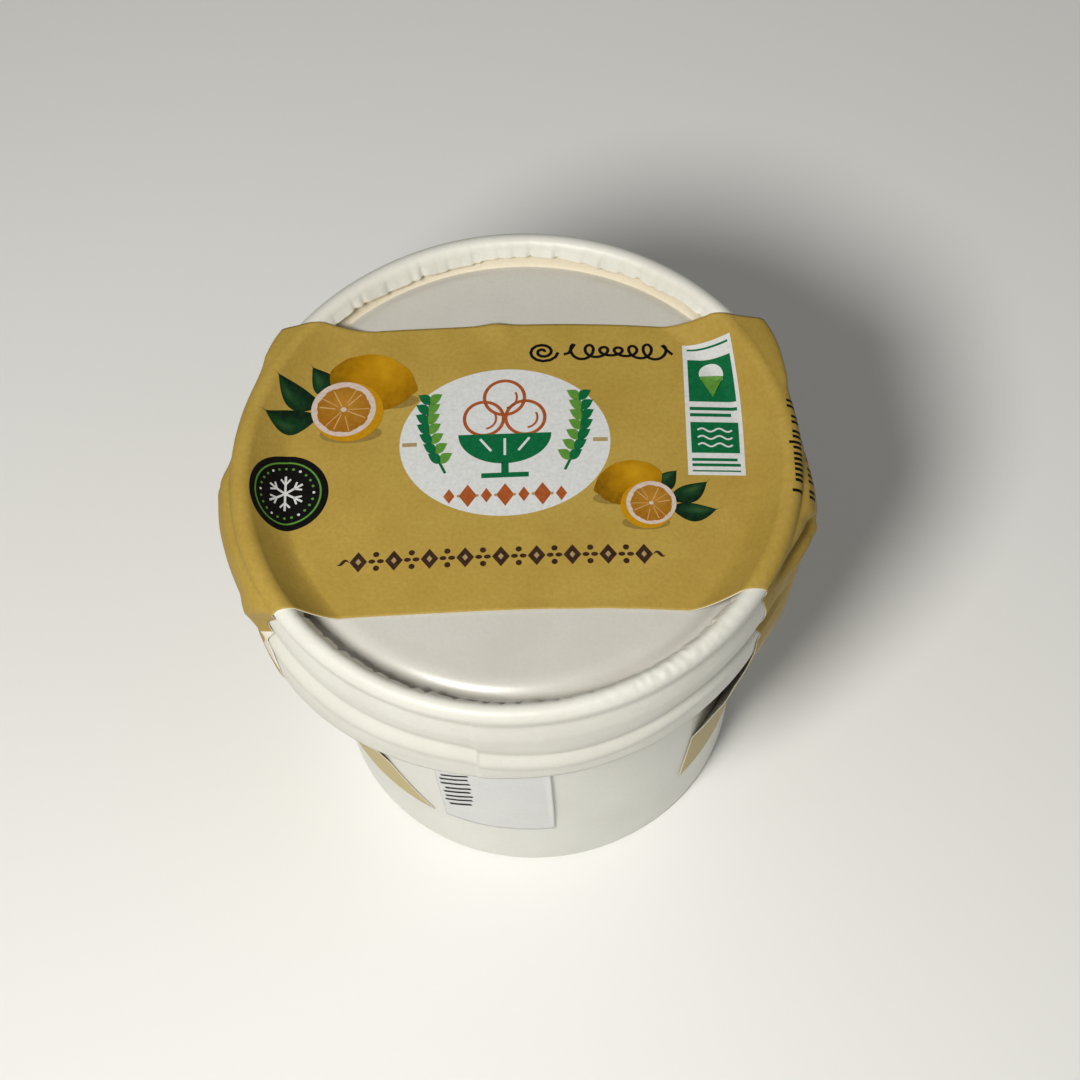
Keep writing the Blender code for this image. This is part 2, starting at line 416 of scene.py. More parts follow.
def cup_profile(angle):
    """Closed outline of the tub: top under the lid, rolled rim, wall with its lap seam, foot, base."""
    top = CUP_TOP - CUP_SINK
    under_rim = top + 0.9 - 2 * CUP_BEAD
    seam = lap_step(turn_apart(angle, WALL_SEAM_ANGLE), WALL_SEAM_STEP, WALL_SEAM_FADE)
    x, y = polar(angle, 40)
    lows = 0.10 * grain(x, y, 7.0, 28.0)
    profile = [(0.0, top), (CUP_RIM_RADIUS - 2 * CUP_BEAD, top)]
    for degrees in range(90, -91, -30):
        out, up = polar(radians(degrees), CUP_BEAD)
        profile.append((CUP_RIM_RADIUS - CUP_BEAD + out, top - CUP_BEAD + up))
    for k in range(15):
        z = mix(under_rim - 1.6, 1.2, k / 14)
        fade = sin(pi * k / 14)
        wave = 0.12 * fade * grain(x, y, z, 22.0)
        profile.append((wall_radius(z) + seam + wave + lows * fade, z))
    half = FOOT_RING / 2
    for degrees in range(0, -181, -30):
        out, up = polar(radians(degrees), half)
        profile.append((FOOT_RADIUS + seam - half + out + 0.05, half + up))
    inner = FOOT_RADIUS - FOOT_RING
    profile += [(inner, BASE_RECESS - 0.6), (inner - 0.6, BASE_RECESS)]
    profile += [(FOOT_RADIUS - 12.0, BASE_RECESS + 0.2), (0.0, BASE_RECESS + 0.3)]
    return profile


def make_cup():
    cup = turned("cup_wall", cup_profile, 360, [CUP_BOARD])
    close_axis(cup)
    finish_piece(cup, "cup_board", "cup")


# Lid

CURL_PLEATS = random_angles(11, 2.4, 6.6)
# Depth of the curl's cut edge below the rim at angles round the back, in degrees from +X
CURL_EDGE = (
    (20, 3.0), (40, 2.3), (47, 2.2), (55, 3.1), (60, 2.5), (70, 3.6), (70.6, 2.8), (84, 2.6), (97.6, 2.8),
    (98.2, 3.6), (109, 3.8), (110, 3.4), (121, 3.9), (122, 3.4), (130, 2.6), (138, 3.1), (160, 3.0),
)
CURL_JOIN = radians(150)
CURL_LEAN = 0.95
PLEAT_DEPTH = 0.62
PLEAT_LIP = 0.50
BEAD_TILT = 0.5
# Angles where the skirt's lower edge stands out and where it is pressed in
SKIRT_OUT = radians(-90 - 54)
SKIRT_IN = radians(-90 + 56)


def curl_shape(angle):
    """Soft dents and sharp pleats of the curl's inner face at an angle, and the depth of its cut edge."""
    x, y = polar(angle, BEAD_CENTRE)
    dent = 0.16 * grain(x, y, 3.0, 5.0) + 0.10 * grain(x, y, 9.0, 2.1)
    pleat = 0.10 * grain(x, y, 17.0, 0.9)
    for mark, strength in CURL_PLEATS:
        apart = turn_apart(angle, mark)
        if abs(apart) < 0.1:
            depth = strength ** 1.7
            pleat -= PLEAT_DEPTH * depth * math.exp(-((apart / 0.012) ** 2))
            if apart > 0:
                pleat += PLEAT_LIP * depth * math.exp(-apart / 0.028) * min(1.0, apart / 0.010)
    drop = np.interp(math.degrees(angle) % 360, *zip(*CURL_EDGE))
    drop += 0.16 * grain(x, y, 31.0, 6.0) + 0.10 * grain(x, y, 57.0, 1.4)
    return dent, pleat, drop


def skirt_radius(angle, depth):
    """Radius of the skirt with its ribs, which fade and wander round the lid."""
    lap = turn_apart(angle, SKIRT_SEAM_ANGLE)
    slide = 0.5 * grain(*polar(angle, 20), 2.0, 16.0)
    wedge = hump(lap, 0.35, 0.42) if lap > 0 else hump(lap, 0.0, 0.05) * 0.2
    slide -= 2.6 * wedge * smooth(9.0, 15.0, depth)
    place = max(1.9, depth + slide * smooth(3.0, 8.0, depth))
    base = np.interp(place, SKIRT_DEPTHS, SKIRT_RADII)
    near = np.interp([place + d for d in (-0.7, -0.35, 0.35, 0.7)], SKIRT_DEPTHS, SKIRT_RADII)
    lean = 2.0 * hump(turn_apart(angle, SKIRT_OUT), 0.0, 0.62)
    lean -= 0.6 * hump(turn_apart(angle, SKIRT_IN), 0.0, 0.5)
    radius = (2 * base + sum(near)) / 6 + lean * smooth(9.0, 24.0, depth)
    x, y = polar(angle, 50)
    uneven = 0.12 * grain(x, y, depth * 0.6, 14.0) + 0.035 * grain(x, y, depth * 2.0, 3.0)
    return radius + (uneven + lap_step(lap, SKIRT_SEAM_STEP, SKIRT_SEAM_FADE)) * smooth(1.9, 4.0, depth)


def lid_side_profile(angle):
    """Face of the lid's side from the curl's cut edge, over the bead and down the ribbed skirt."""
    dent, pleat, drop = curl_shape(angle)
    out, up = polar(CURL_JOIN, BEAD_RADIUS)
    join_r = BEAD_CENTRE + out
    join_z = BEAD_Z + up - BEAD_TILT * cos(CURL_JOIN) ** 2
    profile = []
    steps = 9
    for k in range(steps):
        share = k / steps
        dents = dent * mix(1.0, 0.75, share) + pleat * mix(1.0, 0.45, share)
        profile.append((mix(join_r - CURL_LEAN, join_r, share) - dents, mix(TOP - drop, join_z, share)))
    arc_steps = 15
    crumple = CRUMPLE * hump(turn_apart(angle, CRUMPLE_ANGLE), 0.0, 0.26)
    for k in range(arc_steps + 1):
        turn = CURL_JOIN * (1 - k / arc_steps)
        inward = max(0.0, -cos(turn))
        bead = BEAD_RADIUS + dent * 0.75 * inward ** 1.2 + pleat * 0.45 * inward ** 3
        bead += crumple * grain(angle * 50, turn * 1.3, 0.0, 1.3) * sin(turn)
        out, up = polar(turn, bead)
        profile.append((BEAD_CENTRE + out, BEAD_Z + up - BEAD_TILT * inward * inward))
    skirt_steps = 44
    for k in range(1, skirt_steps + 1):
        depth = mix(BEAD_RADIUS, TOP - SKIRT_END, k / skirt_steps)
        profile.append((skirt_radius(angle, depth), TOP - depth))
    return profile


def make_lid_side():
    lid = turned("lid_rim_and_skirt", lid_side_profile, 960, [LID_BOARD, RAW_BOARD], lambda row: int(row < 1))
    thicken(lid, BOARD)
    finish_piece(lid, "lid_board", "lid_side")


DISC_RINGS = (
    *range(0, 33, 4), 35, 37, 38, 39, 40, 41, 41.5, *(42 + 0.4 * k for k in range(10)), PANEL_EDGE_RADIUS,
)
# How the disc's edge rolls down at the front and at the back: where it starts and ends, its curve, its drop
ROLL_START = (39.4, 44.4)
ROLL_END = (43.1, PANEL_EDGE_RADIUS)
ROLL_CURVE = (2.0, 1.6)
ROLL_DROP = (1.95, 0.4)
FLANGE_RADIUS = LID_RADIUS - 2 * BEAD_RADIUS + BOARD + 0.45


def panel_height(r, angle):
    """Height of the disc: flat, then rolling down along its edge, further at the front than at the back."""
    back = smooth(-0.3, 0.9, sin(angle))
    start, end, curved, drop = (mix(*pair, back) for pair in (ROLL_START, ROLL_END, ROLL_CURVE, ROLL_DROP))
    edge = min(1.0, max(0.0, (r - start) / (end - start))) ** curved
    wave = 0.05 * grain(*polar(angle, r), 1.0, 26.0) * min(1.0, r / 10)
    return TOP - PANEL_DROP - drop * edge + wave


def lid_disc_profile(angle):
    """Upper face of the sunk disc and the cream flange that stands up behind the curl."""
    profile = [(r, panel_height(r, angle)) for r in DISC_RINGS]
    low = profile[-1][1]
    x, y = polar(angle, 46)
    pleat = 0.09 * grain(x, y, 4.0, 1.4) + 0.10 * grain(x, y, 8.0, 6.0)
    profile.append((PANEL_EDGE_RADIUS + 0.14, low + 0.1))
    for k in range(1, 7):
        share = k / 6
        r = mix(PANEL_EDGE_RADIUS + 0.2, FLANGE_RADIUS, share ** 0.7) + pleat * share
        profile.append((r, mix(low + 0.3, TOP - 2.3, share)))
    return profile


def make_lid_disc():
    materials = [DISC_BOARD, RAW_BOARD]
    disc = turned("lid_disc", lid_disc_profile, 540, materials, lambda row: int(row >= len(DISC_RINGS) - 1))
    close_axis(disc)
    thicken(disc, BOARD)
    finish_piece(disc, "lid_disc_board", "lid_panel")


# Seal band

BAND_ROWS = 118
FLAT_STATIONS = 22
LIFT_STATIONS = 26
RIM_STATIONS = 30
SKIRT_STATIONS = 64
HANG_STATIONS = 34
WALL_STATIONS = 22


# One half of the band; pairs of Y or of heights are for the front and the back edge
Side = namedtuple("Side", (
    "sign",  # -1 on the left, 1 on the right
    "panel",  # Y where the band lifts off the disc
    "skirt",  # Y on the lid's side
    "touch",  # Y where the flap meets the wall
    "end",  # Y of the flap's end
    "low",  # heights of the flap's end
    "pull",  # radius and height of the point that bends the flap
    "gap",  # how far the band stands off the lid's side at the back
    "gap_changes",  # changes of the gap, each with the two Y over which it comes
    "corner",  # how far the back corner stands out, the two Y over which it grows, its curve
))
LEFT = Side(
    -1, (-27.2, 32.2), (-28.4, 29.9), (-31.0, 31.0), (-35.2, 31.0), (17.9, 26.0), (44.6, 47.0),
    0.1, ((2.7, 5.5, -1.0), (-0.5, -6.0, -20.0), (-0.6, -22.0, -28.0)),
    (1.7, 17.0, 31.0, 1.0),
)
RIGHT = Side(
    1, (-27.8, 31.0), (-26.7, 28.8), (-27.6, 31.0), (-28.8, 31.0), (15.6, 21.0), (46.0, 44.0),
    0.2, ((2.7, 7.0, -9.5), (-1.1, -9.5, -12.5), (-1.3, -12.0, -21.0), (-0.9, -21.0, -28.0)),
    (3.5, 6.0, 30.0, 1.4),
)
BAND_MIDDLE = (-26.7, 32.4)


def across(inner, outer, share, row):
    """Y of a row of the band, part way from one pair of edges to another."""
    return mix(mix(inner[0], outer[0], share), mix(inner[1], outer[1], share), row)


def bulge(side, y, z):
    """How far the band stands off the lid's side at a place."""
    down = np.clip((BEAD_Z - z) / (BEAD_Z - SKIRT_END), 0.0, 1.0)
    amount = side.gap + sum(change * smooth(start, end, y) for change, start, end in side.gap_changes)
    flare = 1.2 * smooth(-20.0, -26.0, y) * hump(z, 78.5, 5.5) if side.sign < 0 else 0.0
    return amount * np.sin(np.pi * down ** 0.52) + flare


def rim_reach(side, turn, y):
    """Distance of the paper from the bead's centre: round it, or squared off where it stands out."""
    base = BEAD_RADIUS + PAPER_LIFT
    if turn > pi / 2:
        return base
    most, start, end, bend = side.corner
    stand_off = most * smooth(start, end, y) ** bend
    over = base * cos(CORNER_SLOPE) / cos(turn - pi / 2 + CORNER_SLOPE)
    down = (base + stand_off) / cos(turn) if turn < 1.5 else 100.0
    squared = (over ** -7 + down ** -7) ** (-1 / 7)
    return max(base, mix(base, squared, min(1.0, stand_off / 0.9)))


def slant(side, z):
    """How far back the front edge of the band lies at a height of the lid's side."""
    if side.sign > 0:
        return 0.0
    return EDGE_SLANT * smooth(86.0, 75.0, z) * smooth(SKIRT_END + 2.5, SKIRT_END + 8.0, z)


def creases(side, y, z):
    """Small folds of the paper: how far a place moves out from the tub."""
    if side.sign < 0:
        fold = 0.35 * hump(z, 79.5 + 0.2 * y, 1.1) * hump(y, 2.0, 5.0)
        return fold - 0.5 * hump(z, 82.2 - 0.05 * y, 0.8) * smooth(3.0, -1.0, y) * smooth(-14.0, -6.0, y)
    line = 80.2 - (y + 9.5) * 0.24
    valley = -2.6 * hump(z, line, 1.15)
    ridge = 0.9 * hump(z, line - 2.9, 1.6) * smooth(-30.0, -22.0, y)
    return (valley + ridge) * smooth(-8.5, -11.5, y) + 0.25 * hump(z, 76.0, 2.2) * hump(y, 12.0, 4.0)


def skirt_place(side, row, y, share, start):
    """Place of the paper on the lid's side, a share of the way down from a radius and height at the rim."""
    z = mix(start[1], SKIRT_END, share)
    back = slant(side, z)
    y += back * smooth(0.22, 0.0, row)
    hug = mix(start[0], LID_RADIUS + 0.15, smooth(0.0, 0.8, share))
    uneven = 0.18 * sin(pi * share) * grain(y, z, side.sign * 7.0, 6.0)
    r = hug + bulge(side, y, z) + creases(side, y, z) + uneven
    if z >= BEAD_Z:
        return on_circle(r, y, z)
    angle = math.atan2(y, side.sign * sqrt(r * r - y * y))
    close = skirt_radius(angle, TOP - z) + PAPER_LIFT
    r = max(r, close)
    if side.sign < 0:
        tucked = smooth(1.7, 0.2, y - side.skirt[0] - back) * smooth(*HEM_TOP, z) * smooth(*HEM_END, z)
        close = max(close, *(skirt_radius(angle, TOP - z + d) + PAPER_LIFT for d in (-0.8, 0.8)))
    else:
        tucked = 0.9 * smooth(-17.0, -24.0, y) * smooth(86.0, 82.0, z)
    return on_circle(mix(r, close, tucked), y, z)


def band_path(side, row):
    """Points of one slice of the band, from the middle of the lid to the end of the flap."""
    out, up = polar(RIM_TOUCH, BEAD_RADIUS + PAPER_LIFT)
    touch = (BEAD_CENTRE + out, BEAD_Z + up)
    lift = (LIFT_RADIUS, PANEL_FLOOR)
    pull = (touch[0] - (touch[1] - PANEL_FLOOR) / math.tan(RIM_TOUCH - pi / 2), PANEL_FLOOR)
    over = LIFT_STATIONS + RIM_STATIONS
    path = []
    x_lift = on_circle(LIFT_RADIUS, mix(*side.panel, row), 0.0)[0]
    for k in range(FLAT_STATIONS):
        share = k / FLAT_STATIONS
        y = across(BAND_MIDDLE, side.panel, share * share, row)
        wave = 0.14 * (1.0 + grain(side.sign * x_lift * share, y, 5.0, 13.0)) * (1.0 - share)
        path.append((x_lift * share, y, PANEL_FLOOR + wave))
    for k in range(LIFT_STATIONS):
        t = k / LIFT_STATIONS
        r, z = curve(lift, pull, touch, t)
        y = across(side.panel, side.skirt, k / over, row)
        ripple = 0.16 * sin(pi * t) * grain(y, side.sign * 9.0, r * 0.3, 4.5)
        path.append(on_circle(r, y, z + ripple))
    for k in range(RIM_STATIONS):
        turn = mix(RIM_TOUCH, RIM_LEAVE, k / RIM_STATIONS)
        y = across(side.panel, side.skirt, (LIFT_STATIONS + k) / over, row)
        reach = rim_reach(side, turn, y) + 0.06 * abs(grain(y, turn, side.sign * 5.0, 3.0))
        out, up = polar(turn, reach)
        path.append(on_circle(BEAD_CENTRE + out, y, BEAD_Z + up))
    y = mix(*side.skirt, row)
    out, up = polar(RIM_LEAVE, rim_reach(side, RIM_LEAVE, y))
    for k in range(SKIRT_STATIONS + 1):
        path.append(skirt_place(side, row, y, k / SKIRT_STATIONS, (BEAD_CENTRE + out, BEAD_Z + up)))
    start = (hypot(path.pop()[0], y), SKIRT_END)
    end = (wall_radius(WALL_TOUCH) + WALL_GAP, WALL_TOUCH)
    y_touch = mix(*side.touch, row)
    for k in range(HANG_STATIONS):
        t = k / HANG_STATIONS
        r, z = curve(start, side.pull, end, t)
        y_here = mix(y, y_touch, t * t)
        uneven = 0.35 * sin(pi * t) * grain(y_here, z, side.sign * 3.0, 9.0)
        path.append(on_circle(r + uneven, y_here, z))
    for k in range(WALL_STATIONS + 1):
        t = k / WALL_STATIONS
        z = mix(WALL_TOUCH, mix(*side.low, row), t)
        y = across(side.touch, side.end, t, row)
        bubble = 0.10 * sin(pi * t) * grain(y, z, side.sign * 13.0, 5.0)
        path.append(on_circle(wall_radius(z) + WALL_GAP + max(bubble, -0.05), y, z))
    return np.array(path) * (side.sign, 1, 1)


def lift_edges(points):
    """Small lifts of the band's free edges on the disc: a bump at the back, low waves at the front."""
    x, y, z = points[:, 0], points[:, 1], points[:, 2]
    on_disc = smooth(PANEL_FLOOR + 0.6, PANEL_FLOOR, z)
    bump = 0.85 * hump(x, -3.6, 2.6) * hump(y, 32.6, 3.0)
    near_front = hump(y, -27.0, 1.4)
    waves = 0.22 * near_front * (hump(x, 3.0, 6.0) + hump(x, 15.0, 3.0) + 0.8 * hump(x, 21.5, 2.2))
    points[:, 2] = z + on_disc * (bump + waves)
    return points


class Band:
    """The band's outer face, found from a place on the flat paper: u along it and y across it."""

    def __init__(self):
        self.rows = []
        for j in range(BAND_ROWS + 1):
            row = j / BAND_ROWS
            left = lift_edges(band_path(LEFT, row))
            right = lift_edges(band_path(RIGHT, row))
            points = np.vstack([left[:0:-1], right])
            gaps = np.linalg.norm(np.diff(points, axis=0), axis=1)
            along = np.concatenate([[0.0], np.cumsum(gaps)])
            self.rows.append((along - along[len(left) - 1], points))
        self.points = np.array([points for _, points in self.rows])

    def surface(self, u, y):
        """Point at u along the band and y across it, with y as on the flat disc."""
        share = (y - BAND_MIDDLE[0]) / (BAND_MIDDLE[1] - BAND_MIDDLE[0])
        place = min(max(share, 0.0), 1.0) * BAND_ROWS
        j = min(int(place), BAND_ROWS - 1)
        ends = []
        for along, points in self.rows[j : j + 2]:
            ends.append(np.array([np.interp(u, along, points[:, axis]) for axis in range(3)]))
        return ends[0] * (1 - place + j) + ends[1] * (place - j)

    def above(self, u, y, height):
        """Point at a height over the paper's outer face."""
        step = 0.25
        along = self.surface(u + step, y) - self.surface(u - step, y)
        across = self.surface(u, y + step) - self.surface(u, y - step)
        normal = np.cross(along, across)
        return self.surface(u, y) + normal / np.linalg.norm(normal) * height


BAND = Band()


def make_band():
    """The band's mesh; its bare area by the hem ends in a slanting edge, one row for two columns."""
    rows, columns = BAND.points.shape[:2]
    points = BAND.points.transpose(1, 0, 2).reshape(-1, 3)
    faces, sides = [], []
    for i in range(columns - 1):
        a, b, c = i * rows, (i + 1) * rows, (i + 2) * rows
        above = HEM_COLUMNS[1] - i if i >= HEM_COLUMNS[0] else 0
        for j in range(rows - 1):
            if above <= 0 or j != (above + 1) // 2 - 1:
                faces.append((a + j, b + j, b + j + 1, a + j + 1))
                sides.append(1 if 2 * j < above else 0)
            elif above % 2 == 0:
                faces += [(a + j, b + j, a + j + 1), (b + j, c + j, a + j + 1)]
                faces += [(a + j + 1, c + j, b + j + 1), (c + j, c + j + 1, b + j + 1)]
                sides += [1, 1, 0, 0]
    band = make_object("seal_paper", points.tolist(), faces, [BUFF, WHITE_PAPER], sides)
    thicken(band, PAPER, under=1)
    finish_piece(band, "buff_paper", "seal_band")


# Print on the band: flat shapes of ink, laid on the paper where it bends


class Print:
    """Collects flat shapes as one thin piece, each with its ink and its height over the paper."""

    LAYER = 0.025

    def __init__(self, name):
        self.name = name
        self.points, self.faces, self.uvs = [], [], []
        self.inks, self.face_inks = [], []

    def place(self, x, y, layer, uv=(0.0, 0.0)):
        self.points.append(BAND.above(x, y, 0.02 + layer * self.LAYER).tolist())
        self.uvs.append(uv)
        return len(self.points) - 1

    def face(self, corners, ink):
        if ink not in self.inks:
            self.inks.append(ink)
        self.faces.append(corners)
        self.face_inks.append(self.inks.index(ink))

    def patch(self, outline, ink, layer, centre=None, rings=4):
        """Fills a closed outline that can be seen whole from its centre."""
        count = len(outline)
        cx, cy = centre or (sum(p[0] for p in outline) / count, sum(p[1] for p in outline) / count)
        half = max(hypot(x - cx, y - cy) for x, y in outline)
        hub = self.place(cx, cy, layer)
        previous = None
        for k in range(1, rings + 1):
            ring = []
            for x, y in outline:
                px, py = mix(cx, x, k / rings), mix(cy, y, k / rings)
                ring.append(self.place(px, py, layer, ((px - cx) / half, (py - cy) / half)))
            for i in range(count):
                j = (i + 1) % count
                pair = (ring[i], ring[j])
                self.face((previous[i], *pair, previous[j]) if previous else (hub, *pair), ink)
            previous = ring

    def strip(self, right, left, ink, layer):
        """Fills the area between two edges of equal length, the left one on the left of the way."""
        columns = 4
        previous = None
        for i, (a, b) in enumerate(zip(right, left)):
            row = []
            for k in range(columns + 1):
                share = k / columns
                spot = (mix(a[0], b[0], share), mix(a[1], b[1], share))
                row.append(self.place(*spot, layer, (2 * i / (len(right) - 1) - 1, 2 * share - 1)))
            if previous:
                for k in range(columns):
                    self.face((previous[k], row[k], row[k + 1], previous[k + 1]), ink)
            previous = row

    def stroke(self, line, width, ink, layer, taper=False):
        """A line of ink through (x, y) points; with taper it narrows to both ends."""
        previous = None
        last = len(line) - 1
        for i, (x, y) in enumerate(line):
            ahead, behind = line[min(i + 1, last)], line[max(i - 1, 0)]
            dx, dy = ahead[0] - behind[0], ahead[1] - behind[1]
            length = hypot(dx, dy)
            half = width / 2 * (max(0.12, sin(pi * i / last)) if taper else 1.0)
            nx, ny = -dy / length * half, dx / length * half
            pair = [self.place(x + way * nx, y + way * ny, layer) for way in (-1, 1)]
            if previous:
                self.face((previous[0], *pair, previous[1]), ink)
            previous = pair

    def build(self):
        piece = make_object(self.name, self.points, self.faces, self.inks, self.face_inks, False)
        layer = piece.data.uv_layers.new(name="motif")
        for loop in piece.data.loops:
            layer.data[loop.index].uv = self.uvs[loop.vertex_index]
        finish_piece(piece, "buff_paper")


def turns(count):
    return [2 * pi * k / count for k in range(count)]


# Longest piece of a straight edge, short enough to follow the paper
PIECE = 0.8


def oval(centre, half_x, half_y, count):
    """Outline of an ellipse, anticlockwise."""
    return [(centre[0] + half_x * cos(t), centre[1] + half_y * sin(t)) for t in turns(count)]


def lozenge(x, y, half_x, half_y):
    return [(x + half_x, y), (x, y + half_y), (x - half_x, y), (x, y - half_y)]


def box_outline(low, high):
    """Outline of a rectangle with points along its sides, anticlockwise."""
    corners = [low, (high[0], low[1]), high, (low[0], high[1])]
    points = []
    for a, b in zip(corners, corners[1:] + corners[:1]):
        count = max(1, round(math.dist(a, b) / PIECE))
        points += [(mix(a[0], b[0], k / count), mix(a[1], b[1], k / count)) for k in range(count)]
    return points


def bar(sheet, x0, x1, y, width, ink, layer):
    """A straight bar of ink."""
    count = max(1, round((x1 - x0) / PIECE))
    sheet.stroke([(mix(x0, x1, k / count), y) for k in range(count + 1)], width, ink, layer)


def leaf(sheet, root, tip, width, bend, ink, layer):
    """A leaf from its root to its drawn-out tip, bent to one side."""
    dx, dy = tip[0] - root[0], tip[1] - root[1]
    length = hypot(dx, dy)
    spine, halves = [], []
    for k in range(19):
        t = k / 18
        side = bend * sin(pi * t) + 0.4 * bend * t * t
        spine.append((root[0] + dx * t - dy * side, root[1] + dy * t + dx * side))
        blade = sin(pi * min(1.0, t / 0.84) ** 0.85)
        halves.append(width / 2 * max(0.0, blade) + 0.035 * width * (1 - t))
    nx, ny = -dy / length, dx / length
    one = [(x + nx * h, y + ny * h) for (x, y), h in zip(spine, halves)]
    other = [(x - nx * h, y - ny * h) for (x, y), h in zip(spine, halves)]
    sheet.strip(other, one, ink, layer)


def lemons(sheet, centre, size, side):
    """A whole lemon, a cut half in front of it and three leaves on the other side."""

    def at(x, y):
        return (centre[0] + side * x * size, centre[1] + y * size)

    def wound(points):
        return points if side > 0 else points[::-1]

    def ellipse(x, y, half_x, half_y, count, ink, layer, rings=3):
        sheet.patch(oval(at(x, y), half_x * size, half_y * size, count), ink, layer, rings=rings)

    ellipse(1.4, -5.3, 5.6, 1.9, 32, INK_SHADE, 0)
    ellipse(9.0, 1.3, 4.6, 1.6, 32, INK_SHADE, 0)
    for root, tip, width, bend in LEAF_PLACES:
        leaf(sheet, at(*root), at(*tip), width * size, bend * side, LEAF_DARK, 1)
    body = []
    for turn in turns(64):
        nub = 0.09 * hump(turn_apart(turn, 0.0), 0.0, 0.17) + 0.04 * hump(turn_apart(turn, pi), 0.0, 0.3)
        r = 1 + nub + 0.012 * sin(5 * turn) + 0.008 * sin(11 * turn)
        x, y = rotate(-0.27, 7.8 * r * cos(turn), 5.9 * r * sin(turn))
        body.append(at(5.1 + x, 5.6 + y))
    sheet.patch(wound(body), LEMON_SKIN, 2, at(5.1, 5.6), 6)
    ellipse(0.85, -0.6, 6.35, 6.3, 48, LEMON_RIND, 3)
    ellipse(0.0, 0.0, 5.85, 5.8, 48, LEMON_PITH, 4)

    def on_flesh(turn, r):
        x, y = polar(turn, r)
        return at(x, y - 0.15)

    flesh = []
    for turn in turns(72):
        flesh.append(on_flesh(turn, 4.8 + 0.10 * sin(9 * turn + 1.0) + 0.06 * sin(23 * turn)))
    sheet.patch(wound(flesh), LEMON_FLESH, 5)
    for k in range(10):
        turn = 2 * pi * (k + 0.3 * sin(2.3 * k)) / 10
        near, far = 0.7 + 0.4 * (k % 3), 4.7 - 0.3 * (k % 2)
        line = [on_flesh(turn, r) for r in (near, mix(near, far, 0.5), far)]
        sheet.stroke(line, (0.16 + 0.07 * (k % 2)) * size, FLESH_VEIN, 6)
    ellipse(0.0, -0.15, 0.55, 0.5, 16, LEMON_PITH, 7, 1)


def snowflake(sheet, centre, size, width, ink, layer):
    """A plain six-armed frost mark."""
    for k in range(6):

        def along(share, apart=0.0):
            x, y = rotate(pi * k / 3 + pi / 6, share * size, apart * size)
            return centre[0] + x, centre[1] + y

        sheet.stroke([along(s) for s in (0.0, 0.5, 1.0)], width, ink, layer)
        for way in (-1, 1):
            sheet.stroke([along(0.52), along(0.82, 0.26 * way)], width * 0.85, ink, layer)


def draw_oval_field(sheet):
    """White oval with a coupe of sorbet between two sprigs, over a row of lozenges."""
    cx, cy = OVAL_CENTRE
    sheet.patch(oval(OVAL_CENTRE, *OVAL_HALF, 96), INK_WHITE, 0, rings=14)
    brim = cy + 1.6
    for dx, dy, r in ((-3.7, 3.3, 3.5), (3.7, 3.3, 3.5), (0.0, 7.6, 3.6)):
        ring = oval((cx + dx, brim + dy), r, r, 40)
        sheet.stroke(ring + ring[:1], 0.62, INK_RUST, 1)
        inner = [polar(t, 0.62 * r) for t in np.linspace(-1.4, 0.5, 12)]
        sheet.stroke([(cx + dx + x, brim + dy + y) for x, y in inner], 0.4, INK_RUST, 1)
    bowl = [(cx + 8.3 * cos(t), brim + 6.2 * sin(t)) for t in np.linspace(-pi, 0, 29)]
    sheet.patch(bowl, INK_GREEN, 2, (cx, brim - 1.8))
    for dx in (-4.4, 0.0, 4.4):
        drop = 3.5 * (1 - abs(dx) * 0.06)
        line = [(cx + dx * (1 - 0.45 * t), brim - 1.0 - drop * t) for t in np.linspace(0, 1, 6)]
        sheet.stroke(line, 0.45, INK_WHITE, 3)
    sheet.stroke([(cx, brim - 6.0), (cx, brim - 7.2), (cx, brim - 8.2)], 1.3, INK_GREEN, 2)
    bar(sheet, cx - 4.2, cx + 4.2, brim - 8.6, 1.0, INK_GREEN, 2)
    for side in (-1, 1):
        rise = np.linspace(0, 1, 15)
        stem = [(cx + side * (10.6 + 3.2 * sin(2.1 * t)), brim - 7.8 + 14.6 * t) for t in rise]
        sheet.stroke(stem, 0.5, INK_GREEN, 1)
        for x, y in stem[2::2]:
            for way in (-1, 1):
                ink = INK_GREEN if way == side else INK_LEAF
                leaf(sheet, (x, y), (x + way * 2.8, y + 2.1), 1.8, 0.12 * way, ink, 2)
        dash = cx + side * 17.0
        bar(sheet, dash - 1.3, dash + 1.3, cy, 0.8, INK_GOLD, 1)
    row = cy - 11.0
    for k in range(-3, 4):
        half = (1.6, 2.3) if k % 2 == 0 else (1.0, 1.5)
        x = cx + 3.3 * k
        sheet.patch(lozenge(x, row, *half), INK_RUST, 1, rings=1)
        if k < 3:
            sheet.patch(oval((x + 1.65, row), 0.3, 0.3, 10), INK_GOLD, 1, rings=1)


def draw_badge(sheet):
    """Dark round badge with a thin ring, a frost mark and a row of dots."""
    sheet.patch(oval(BADGE_CENTRE, BADGE_RADIUS, BADGE_RADIUS, 64), INK_BLACK, 0, rings=10)
    ring = oval(BADGE_CENTRE, BADGE_RADIUS * 0.82, BADGE_RADIUS * 0.82, 64)
    sheet.stroke(ring + ring[:1], 0.32, INK_LEAF, 1)
    snowflake(sheet, BADGE_CENTRE, BADGE_RADIUS * 0.46, 0.42, INK_WHITE, 1)
    for k, spot in enumerate(oval(BADGE_CENTRE, BADGE_RADIUS * 0.66, BADGE_RADIUS * 0.66, 24)):
        sheet.patch(oval(spot, 0.26, 0.26, 8), INK_LEAF if k % 4 else INK_WHITE, 1, rings=1)


